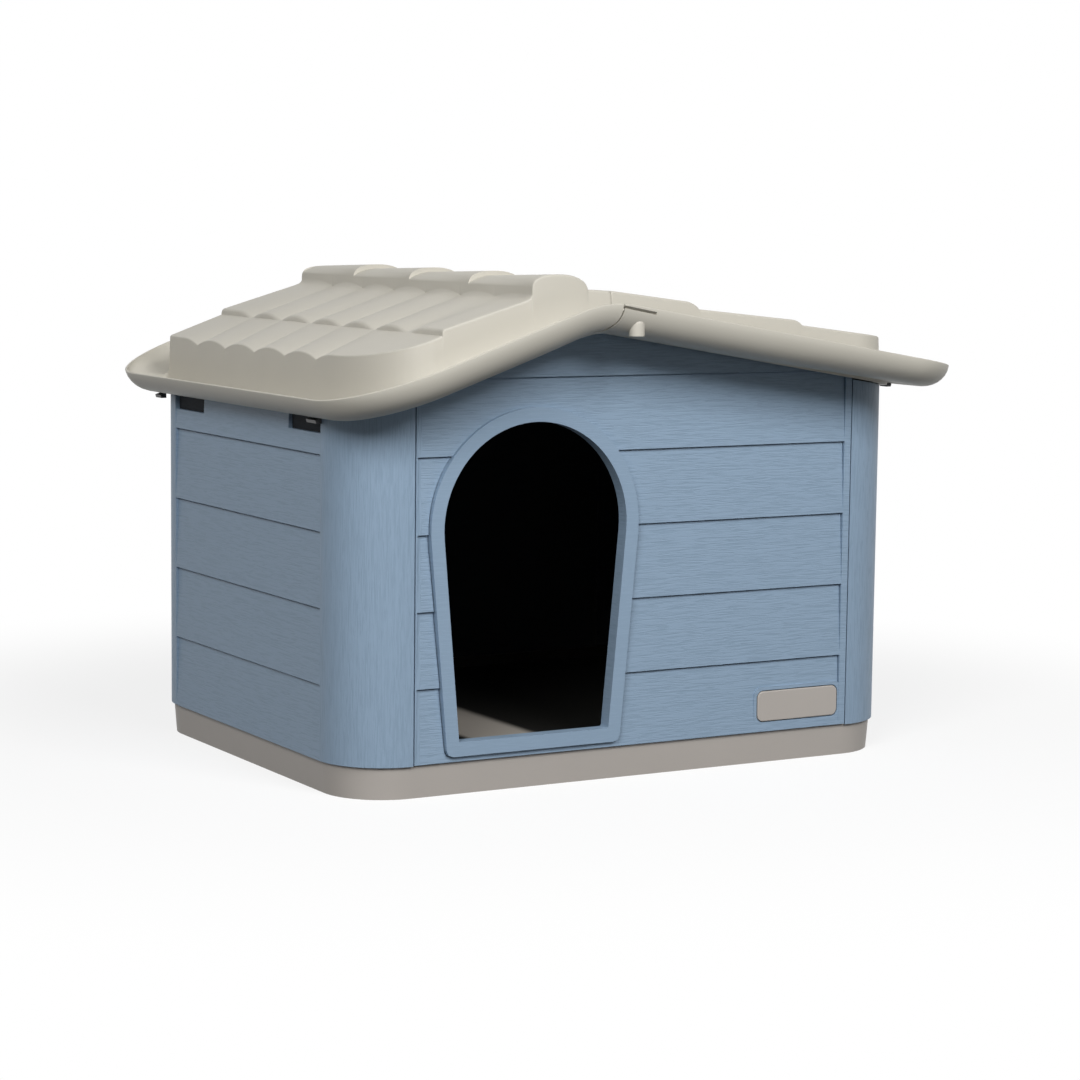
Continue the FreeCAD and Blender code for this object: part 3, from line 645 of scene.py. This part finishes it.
def cabin_painted_shade_share(tree, place):
    """1 on faces within the cabin, 0 on its outside and in the doorway: the distance to the rounded
    outline of the walls is taken in plan. Shade is painted where it is 1, and on the cabin floor light is
    painted on one strip."""
    axes = add_node(tree, "ShaderNodeSeparateXYZ", links={0: place})

    def maths(operation, a, b=0.0):
        return add_node(tree, "ShaderNodeMath", {"operation": operation}, {0: a, 1: b}).outputs[0]

    side = maths("ABSOLUTE", maths("ADD", axes.outputs["X"], 0.003))
    depth = maths("ABSOLUTE", axes.outputs["Y"])
    qx = maths("MAXIMUM", maths("SUBTRACT", side, 0.263 - 0.055), 0.0)
    qy = maths("MAXIMUM", maths("SUBTRACT", depth, 0.1985 - 0.055), 0.0)
    reach = maths("SQRT", maths("ADD", maths("MULTIPLY", qx, qx), maths("MULTIPLY", qy, qy)))
    # faces more than 4.1 mm behind the outer face count as inside, so the hand notches' bottoms get painted
    # shade too
    within = maths("LESS_THAN", reach, 0.055 - 0.0041)
    behind = maths("GREATER_THAN", axes.outputs["Y"], -0.1885)
    above = maths("GREATER_THAN", axes.outputs["Z"], 0.0305)
    return maths("MULTIPLY", maths("MULTIPLY", within, behind), above), axes, maths


def moulded_wall_polypropylene():
    """Injection-moulded polypropylene with embossed wood grain: grain runs along the boards and up the
    round corners. Shade is painted on the cabin's inner faces, which take a deep dark blue."""
    s = settings()
    material, tree = new_material("wood_grain_polypropylene_blue_painted_cabin_shade")
    place = add_node(tree, "ShaderNodeTexCoord").outputs["Object"]
    inside, axes, maths = cabin_painted_shade_share(tree, place)
    along = maths("ADD", axes.outputs["X"], axes.outputs["Y"])
    across = maths("SUBTRACT", axes.outputs["X"], axes.outputs["Y"])
    lines = []
    for run, cross in ((along, axes.outputs["Z"]), (axes.outputs["Z"], across)):
        point = add_node(tree, "ShaderNodeCombineXYZ", links={"X": run, "Y": cross}).outputs[0]
        # a grain line is about 1.6 mm wide and 24 mm long
        scaled = add_node(tree, "ShaderNodeMapping",
                          links={"Vector": point, "Scale": (1 / 0.024, 1 / 0.0016, 1.0)}).outputs[0]
        noise = add_node(tree, "ShaderNodeTexNoise", links={
            "Vector": scaled, "Scale": 1.0, "Detail": 3.0, "Roughness": 0.6, "Distortion": 0.9})
        lines.append(noise.outputs["Fac"])
    corner = maths("MULTIPLY", maths("GREATER_THAN", maths("ABSOLUTE", axes.outputs["X"]), 0.2050),
                   maths("GREATER_THAN", maths("ABSOLUTE", axes.outputs["Y"]), 0.1435))
    grain = add_node(tree, "ShaderNodeMix", {"data_type": "FLOAT"},
                     {"Factor": corner, "A": lines[0], "B": lines[1]}).outputs[0]
    carved = add_node(tree, "ShaderNodeMapRange", {"interpolation_type": "SMOOTHSTEP"}, {
        "Value": grain, "From Min": 0.34, "From Max": 0.60}).outputs[0]
    # the door frame stands proud of the boards and is plain
    proud = maths("LESS_THAN", axes.outputs["Y"], -0.19865)
    height = maths("MAXIMUM", carved, maths("MULTIPLY", proud, 0.7))
    bump = add_node(tree, "ShaderNodeBump", links={
        "Strength": 0.4, "Distance": 0.0003, "Height": height}).outputs[0]
    tint = add_node(tree, "ShaderNodeMix", {"data_type": "RGBA"}, {
        "Factor": height, "A": linear(s.wall_dark), "B": linear(s.wall_colour)}).outputs[2]
    # painted shade: faces within the cabin take a deep dark blue in place of the plastic's colour
    shade = add_node(tree, "ShaderNodeMix", {"data_type": "RGBA"}, {
        "Factor": inside, "A": tint, "B": linear(PAINTED_CABIN_SHADE)}).outputs[2]
    gloss = add_node(tree, "ShaderNodeMapRange", links={
        "Value": inside, "To Min": 0.5, "To Max": 0.95}).outputs[0]
    shader = add_node(tree, "ShaderNodeBsdfPrincipled", links={
        "Base Color": shade, "Roughness": gloss, "IOR": 1.49, "Normal": bump})
    close_material(tree, shader)
    return material


def moulded_plain_polypropylene(name, colour, dark, roughness=0.5, painted_cabin_floor=False):
    """Smooth matt polypropylene from a spark-eroded mould: a fine even tooth and very slight
    cloudiness. With painted_cabin_floor, shade is painted on the cabin floor, and light is painted on one
    strip of it."""
    material, tree = new_material(name)
    place = add_node(tree, "ShaderNodeTexCoord").outputs["Object"]
    # tooth of about 0.5 mm, drawn at 0.9 mm so that it shows
    tooth = add_node(tree, "ShaderNodeTexNoise", links={
        "Vector": place, "Scale": 1100.0, "Detail": 2.0, "Roughness": 0.5}).outputs["Fac"]
    cloud = add_node(tree, "ShaderNodeTexNoise", links={
        "Vector": place, "Scale": 14.0, "Detail": 3.0, "Roughness": 0.55}).outputs["Fac"]
    tint = add_node(tree, "ShaderNodeMix", {"data_type": "RGBA"}, {
        "Factor": cloud, "A": linear(dark), "B": linear(colour)}).outputs[2]
    if painted_cabin_floor:
        inside, axes, maths = cabin_painted_shade_share(tree, place)
        # painted light and shade on the cabin floor: the strip between these x values is painted lit, the
        # rest painted dark
        rise = add_node(tree, "ShaderNodeMapRange", {"interpolation_type": "SMOOTHSTEP"}, {
            "Value": axes.outputs["X"], "From Min": -0.130, "From Max": -0.121}).outputs[0]
        fall = add_node(tree, "ShaderNodeMapRange", {"interpolation_type": "SMOOTHSTEP"}, {
            "Value": axes.outputs["X"], "From Min": -0.074, "From Max": -0.060,
            "To Min": 1.0, "To Max": 0.0}).outputs[0]
        painted_light_strip = maths("MULTIPLY", rise, fall)
        floor = add_node(tree, "ShaderNodeMix", {"data_type": "RGBA"}, {
            "Factor": painted_light_strip, "A": linear(PAINTED_FLOOR_SHADE), "B": linear(PAINTED_FLOOR_LIGHT)}).outputs[2]
        tint = add_node(tree, "ShaderNodeMix", {"data_type": "RGBA"}, {
            "Factor": inside, "A": tint, "B": floor}).outputs[2]
    bump = add_node(tree, "ShaderNodeBump", links={
        "Strength": 0.12, "Distance": 0.0003, "Height": tooth}).outputs[0]
    shader = add_node(tree, "ShaderNodeBsdfPrincipled", links={
        "Base Color": tint, "Roughness": roughness, "IOR": 1.49, "Normal": bump})
    close_material(tree, shader)
    return material


def drawn_steel():
    """Bright drawn steel wire for the hinge rods: fine lines along the rod."""
    material, tree = new_material("drawn_steel_rod")
    place = add_node(tree, "ShaderNodeTexCoord").outputs["Object"]
    # drawing lines 0.15 mm apart
    stretched = add_node(tree, "ShaderNodeMapping", links={
        "Vector": place, "Scale": (6000.0, 40.0, 6000.0)}).outputs[0]
    lines = add_node(tree, "ShaderNodeTexNoise", links={"Vector": stretched, "Scale": 1.0}).outputs["Fac"]
    rough = add_node(tree, "ShaderNodeMapRange", links={
        "Value": lines, "To Min": 0.28, "To Max": 0.45}).outputs[0]
    shader = add_node(tree, "ShaderNodeBsdfPrincipled", links={
        "Base Color": linear("#b9bbbd"), "Metallic": 1.0, "Roughness": rough})
    close_material(tree, shader)
    return material


def seen_directly(tree):
    """1 for what the camera sees, also by way of a reflection or a clear piece, else 0."""
    ray = add_node(tree, "ShaderNodeLightPath")
    seen = add_node(tree, "ShaderNodeMath", {"operation": "MAXIMUM"},
                    {0: ray.outputs["Is Camera Ray"], 1: ray.outputs["Is Glossy Ray"]}).outputs[0]
    return add_node(tree, "ShaderNodeMath", {"operation": "MAXIMUM"},
                    {0: seen, 1: ray.outputs["Is Transmission Ray"]}).outputs[0]


def pale_floor():
    """Matt white studio floor: seen directly it keeps the house's soft shadow and runs out to plain
    white, and what it throws back at the house is held low, as from a floor that lies in shade."""
    material, tree = new_material("matt_white_floor")
    seen = seen_directly(tree)
    place = add_node(tree, "ShaderNodeTexCoord").outputs["Object"]
    away = add_node(tree, "ShaderNodeVectorMath", {"operation": "LENGTH"}, {0: place}).outputs["Value"]
    # the shadow has faded out 0.9 m from the middle of the house
    glow_share = add_node(tree, "ShaderNodeMapRange", {"interpolation_type": "SMOOTHSTEP"}, {
        "Value": away, "From Min": 0.4, "From Max": 0.9, "To Min": 0.8, "To Max": 1.0}).outputs[0]
    share = add_node(tree, "ShaderNodeMath", {"operation": "MULTIPLY"}, {0: seen, 1: glow_share}).outputs[0]
    tone = add_node(tree, "ShaderNodeMix", {"data_type": "RGBA"}, {
        "Factor": seen, "A": (0.08, 0.08, 0.08, 1.0), "B": WHITE}).outputs[2]
    matt = add_node(tree, "ShaderNodeBsdfDiffuse", links={"Color": tone})
    glow = add_node(tree, "ShaderNodeEmission", links={"Color": WHITE, "Strength": 1.0})
    mix = add_node(tree, "ShaderNodeMixShader", links={0: share, 1: matt.outputs[0], 2: glow.outputs[0]})
    close_material(tree, mix)
    return material


# ---- settings -------------------------------------------------------------------

class DogHouseSettings(bpy.types.PropertyGroup):
    """Colours and sizes of the dog house that a user would change."""
    wall_colour: StringProperty(name="Wall colour", default="#8ba1b7",
                                description="sRGB hex of the wall plastic on the raised grain")
    wall_dark: StringProperty(name="Wall grain colour", default="#8298ad",
                              description="sRGB hex of the wall plastic in the grain lines")
    roof_colour: StringProperty(name="Roof colour", default="#c6c2b7",
                                description="sRGB hex of the roof plastic")
    base_colour: StringProperty(name="Base colour", default="#b5afa9",
                                description="sRGB hex of the base plastic")
    lens: FloatProperty(name="Lens", default=96.69, min=20.0, max=200.0,
                        description="Focal length of the camera on a 36 mm sensor, in millimetres")


# ---- operators --------------------------------------------------------------------

class DOGHOUSE_OT_camera(bpy.types.Operator):
    """Places the camera at the photograph's viewing angle"""
    bl_idname = "dog_house.camera"
    bl_label = "Camera"

    def execute(self, context):
        turn = math.radians(30.12)
        fall = math.radians(6.694)
        roll = math.radians(0.6514)
        look = Vector((math.sin(turn) * math.cos(fall), math.cos(turn) * math.cos(fall), -math.sin(fall)))
        level = Vector((math.cos(turn), -math.sin(turn), 0.0))
        rise = level.cross(look)
        right = math.cos(roll) * level + math.sin(roll) * rise
        up = math.cos(roll) * rise - math.sin(roll) * level
        data = bpy.data.cameras.new("camera")
        data.sensor_width = 36.0
        data.lens = settings().lens
        data.clip_start = 0.05
        data.clip_end = 60.0
        camera = bpy.data.objects.new("camera", data)
        context.scene.collection.objects.link(camera)
        turned = Matrix((right, up, -look)).transposed()
        camera.matrix_world = Matrix.Translation((-1.2494, -2.1822, 0.4690)) @ turned.to_4x4()
        context.scene.camera = camera
        return {"FINISHED"}


class DOGHOUSE_OT_stage(bpy.types.Operator):
    """Makes the floor, the soft studio lamps and the pale background"""
    bl_idname = "dog_house.stage"
    bl_label = "Stage"

    def execute(self, context):
        scene = context.scene
        scene.view_settings.view_transform = "Standard"
        mesh = bpy.data.meshes.new("floor")
        r = 9.0
        mesh.from_pydata([(-r, -r, 0), (r, -r, 0), (r, r, 0), (-r, r, 0)], [], [(0, 1, 2, 3)])
        floor = bpy.data.objects.new("floor", mesh)
        scene.collection.objects.link(floor)
        mesh.materials.append(pale_floor())
        lamps = [
            ("front_lamp", (0.3, -2.7, 2.2), 1.4, 70.0),
            ("left_lamp", (-2.35, -2.15, 2.25), 1.5, 80.0),
        ]
        for name, place, size, power in lamps:
            data = bpy.data.lights.new(name, "AREA")
            data.size = size
            data.energy = power
            lamp = bpy.data.objects.new(name, data)
            scene.collection.objects.link(lamp)
            aim = (Vector((0.0, 0.0, 0.2)) - Vector(place)).to_track_quat("-Z", "Y")
            lamp.matrix_world = Matrix.Translation(place) @ aim.to_matrix().to_4x4()
        world = bpy.data.worlds.new("studio")
        scene.world = world
        world.use_nodes = True
        tree = world.node_tree
        tree.nodes.clear()
        soft = add_node(tree, "ShaderNodeBackground", links={"Color": WHITE, "Strength": 0.04})
        white = add_node(tree, "ShaderNodeBackground", links={"Color": WHITE, "Strength": 1.0})
        both = add_node(tree, "ShaderNodeMixShader", links={
            0: seen_directly(tree), 1: soft.outputs[0], 2: white.outputs[0]})
        add_node(tree, "ShaderNodeOutputWorld", links={"Surface": both.outputs[0]})
        return {"FINISHED"}


class DOGHOUSE_OT_finishes(bpy.types.Operator):
    """Gives the carried-over solids their moulded plastic and steel finishes"""
    bl_idname = "dog_house.finishes"
    bl_label = "Finishes"

    def execute(self, context):
        s = settings()
        wall = moulded_wall_polypropylene()
        roof = moulded_plain_polypropylene("smooth_polypropylene_roof_grey", s.roof_colour, ROOF_DARK, 0.5)
        # the base's material carries the painted light and shade of the cabin floor
        base = moulded_plain_polypropylene(
            "smooth_polypropylene_base_grey_painted_cabin_light", s.base_colour, BASE_DARK, 0.5, painted_cabin_floor=True)
        # the catches' near-black colour is painted shade, as falls under the rim
        dark = moulded_plain_polypropylene("catch_in_painted_shade", *CATCH_PAINTED_SHADE, 0.4)
        steel = drawn_steel()
        finish = {
            "base_tray": base, "front_wall": wall, "rear_wall": wall, "left_side_wall": wall,
            "right_side_wall": wall, "name_plate": base, "ridge_beam": roof, "left_hinge_rod": steel,
            "right_hinge_rod": steel, "corner_wedges": wall, "left_roof": roof, "left_eave_clips": dark,
            "right_roof": roof, "right_eave_clips": dark,
        }
        for node, material in finish.items():
            paint(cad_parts[node].data, material)
        return {"FINISHED"}


class DOGHOUSE_OT_gable_walls(bpy.types.Operator):
    """Makes the boarded front wall with its door frame, and the boarded rear wall"""
    bl_idname = "dog_house.gable_walls"
    bl_label = "Gable Walls"

    def execute(self, context):
        finish = moulded_wall_polypropylene()
        y = -BODY_Y
        frame_outline = door_outline(FRAME_WIDE, 6.0)
        ring = prism("ring", frame_outline, y - FRAME_PROUD, y + 3.4)
        # a narrow groove follows the left and lower outside of the frame
        groove = prism("groove", [(px - 0.9, pz - 0.7) for px, pz in frame_outline], y - 1.0, y + 3.1)
        sleeve = prism("sleeve", door_outline(3.0, 4.0), y + 0.2, y + 9.0)
        back = prism("back", rounded_rectangle(110.5, 200.0, 31.8, 64.8, 7.5), y + 0.3, y + WALL_T)
        door = prism("door", door_outline(0.0, 1.6), y - 8.0, y + 14.0)
        recess = prism("recess", rounded_rectangle(113.4, 196.2, 34.8, 61.9, 6.3), y - 1.0, y + 2.8)
        front = gable_wall("boarded_wall_front", -1, SEAM_LEFT + 2.5, SEAM_RIGHT - 7.5,
                           [groove], [ring, sleeve, back], [door, recess])
        rear = gable_wall("boarded_wall_rear", 1, SEAM_LEFT + 7.5, SEAM_RIGHT - 7.5, [], [], [])
        for piece, node in ((front, "front_wall"), (rear, "rear_wall")):
            ease(piece, 0.35)
            smooth(piece, 15.0)
            paint(piece.data, finish)
            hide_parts(node)
            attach(piece, "house")
        return {"FINISHED"}


class DOGHOUSE_OT_side_walls(bpy.types.Operator):
    """Cuts the board grooves and hand notches crisply into the two side walls with their corners"""
    bl_idname = "dog_house.side_walls"
    bl_label = "Side Walls"

    def execute(self, context):
        finish = moulded_wall_polypropylene()
        for side, node, x, name in ((-1, "left_side_wall", BODY_X0, "boarded_wall_left"),
                                    (1, "right_side_wall", BODY_X1, "boarded_wall_right")):
            bm = merged_copy(node)
            bmesh.ops.recalc_face_normals(bm, faces=bm.faces)
            wall = new_piece(name, bm)
            half = BODY_Y - CORNER
            grooves = []
            for z in LAPS[1:5]:
                out, deep = x + side, x - side * GROOVE_DEEP
                points = [(out, -half, z - GROOVE_TALL), (deep, -half, z - GROOVE_TALL),
                          (deep, -half, z), (out, -half, z)]
                grooves.append(push("cut", points, (0, 2 * half, 0)))
            low = crest(x) - NOTCH_DROP
            for y in NOTCH_STARTS:
                out, deep = x + side * 2, x - side * NOTCH_DEEP
                points = [(out, y, low), (deep, y, low), (deep, y, low + 60.0), (out, y, low + 60.0)]
                grooves.append(push("cut", points, (0, NOTCH_LONG, 0)))
            carve(wall, grooves)
            ease(wall, 0.3)
            smooth(wall, 15.0)
            paint(wall.data, finish)
            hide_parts(node)
            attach(wall, "house")
        return {"FINISHED"}


class DOGHOUSE_OT_name_plate(bpy.types.Operator):
    """Makes the blank name plate with its rounded edge"""
    bl_idname = "dog_house.name_plate"
    bl_label = "Name Plate"

    def execute(self, context):
        s = settings()
        outline = rounded_rectangle(*PLATE_OUTLINE, 5.5)
        plate = prism("blank_name_plate", outline, -BODY_Y - 0.35, -BODY_Y + 2.8)
        ease(plate, 0.8)
        smooth(plate, 20.0)
        paint(plate.data, moulded_plain_polypropylene(
            "smooth_polypropylene_plate_grey", s.base_colour, BASE_DARK, 0.5))
        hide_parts("name_plate")
        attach(plate, "house")
        return {"FINISHED"}


class DOGHOUSE_OT_roof_halves(bpy.types.Operator):
    """Makes the two roof halves with their tiles, gutter and round rim"""
    bl_idname = "dog_house.roof_halves"
    bl_label = "Roof Halves"

    def execute(self, context):
        s = settings()
        roof = moulded_plain_polypropylene("smooth_polypropylene_roof_grey", s.roof_colour, ROOF_DARK, 0.5)
        valleys = [BLOCK_Y0 + PITCH * n for n in range(1, TILES)]
        caps = [BLOCK_Y0 + CAP_LENGTH * n for n in range(1, 4)]
        left = half_shell(-1, SEAM_X - 0.3, left_top,
                          [STEP_LEFT, STEP_LEFT + 2.0, RIDGE_SIDE, RIDGE_SIDE + 1.5, -62.5, SEAM_X - 1.1],
                          valleys + caps)
        right = half_shell(1, -90.0, right_top, [31.5, 44.5, 137.0, 147.0, SEAM_X + 1.1], valleys)
        left = new_piece("tiled_roof_left", left)
        right = new_piece("tiled_roof_right", right)
        ends = ((-ROOF_Y - 4, -ROOF_Y + END_CUT), (ROOF_Y - END_CUT, ROOF_Y + 4))
        # the left half gives up all that lies right of its rim's round end
        carve(left, [prism("cut", rim_end_outline(0.0, -30.0), a, b) for a, b in ends])
        # the slit over the tongue slopes down as it runs in
        slit = [(-62.0, 391.6), (-28.7, 385.4), (-28.9, 383.5), (-62.2, 389.7)]
        tools = [push("cut", [(px, end * (ROOF_Y + 3.1), pz) for px, pz in slit], (0, -end * 13.0, -12.0))
                 for end in (-1, 1)]
        inner = [(-95.0, 330.0), (SEAM_X + 0.3, 330.0), (SEAM_X + 0.3, 430.0), (-95.0, 430.0)]
        tools.append(prism("cut", inner, -ROOF_Y + END_CUT, ROOF_Y - END_CUT))
        # and the right half all that the round end covers
        tools.extend(prism("cut", rim_end_outline(RIM_GAP, -95.0), a, b) for a, b in ends)
        carve(right, tools)
        join(right, [rim_peg(-1), rim_peg(1)])
        for piece, body, node in ((left, "left_half", "left_roof"), (right, "right_half", "right_roof")):
            smooth(piece)
            paint(piece.data, roof)
            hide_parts(node)
            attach(piece, body)
        return {"FINISHED"}


class DOGHOUSE_OT_eave_catches(bpy.types.Operator):
    """Makes the catches under the right eave with soft edges, up against the rim; their near-black colour
    is painted shade
    """
    bl_idname = "dog_house.eave_catches"
    bl_label = "Eave Catches"

    def execute(self, context):
        bm = merged_copy("right_eave_clips")
        bmesh.ops.translate(bm, vec=(0, 0, EAVE_RISE), verts=bm.verts)
        catches = new_piece("eave_catches_right", bm)
        ease(catches, 0.4)
        smooth(catches)
        # near-black colour: painted shade, as falls under the rim
        paint(catches.data, moulded_plain_polypropylene("catch_in_painted_shade", *CATCH_PAINTED_SHADE, 0.4))
        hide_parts("right_eave_clips")
        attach(catches, "right_half")
        return {"FINISHED"}


class DOGHOUSE_PT_panel(bpy.types.Panel):
    """Lists the steps that build the dog house"""
    bl_idname = "DOGHOUSE_PT_panel"
    bl_label = "Dog House"
    bl_space_type = "VIEW_3D"
    bl_region_type = "UI"
    bl_category = "Dog House"

    def draw(self, context):
        s = context.scene.dog_house
        column = self.layout.column()
        for name in ("wall_colour", "wall_dark", "roof_colour", "base_colour", "lens"):
            column.prop(s, name)
        for operator in OPERATORS:
            column.operator(operator.bl_idname)


OPERATORS = (DOGHOUSE_OT_camera, DOGHOUSE_OT_stage, DOGHOUSE_OT_finishes, DOGHOUSE_OT_gable_walls,
             DOGHOUSE_OT_side_walls, DOGHOUSE_OT_name_plate, DOGHOUSE_OT_roof_halves,
             DOGHOUSE_OT_eave_catches)
CLASSES = (DogHouseSettings,) + OPERATORS + (DOGHOUSE_PT_panel,)


def register():
    for cls in CLASSES:
        bpy.utils.register_class(cls)
    bpy.types.Scene.dog_house = PointerProperty(type=DogHouseSettings)


def unregister():
    del bpy.types.Scene.dog_house
    for cls in reversed(CLASSES):
        bpy.utils.unregister_class(cls)


def main():
    register()
    for operator in OPERATORS:
        group, name = operator.bl_idname.split(".")
        getattr(getattr(bpy.ops, group), name)()


if __name__ == "__main__":
    main()
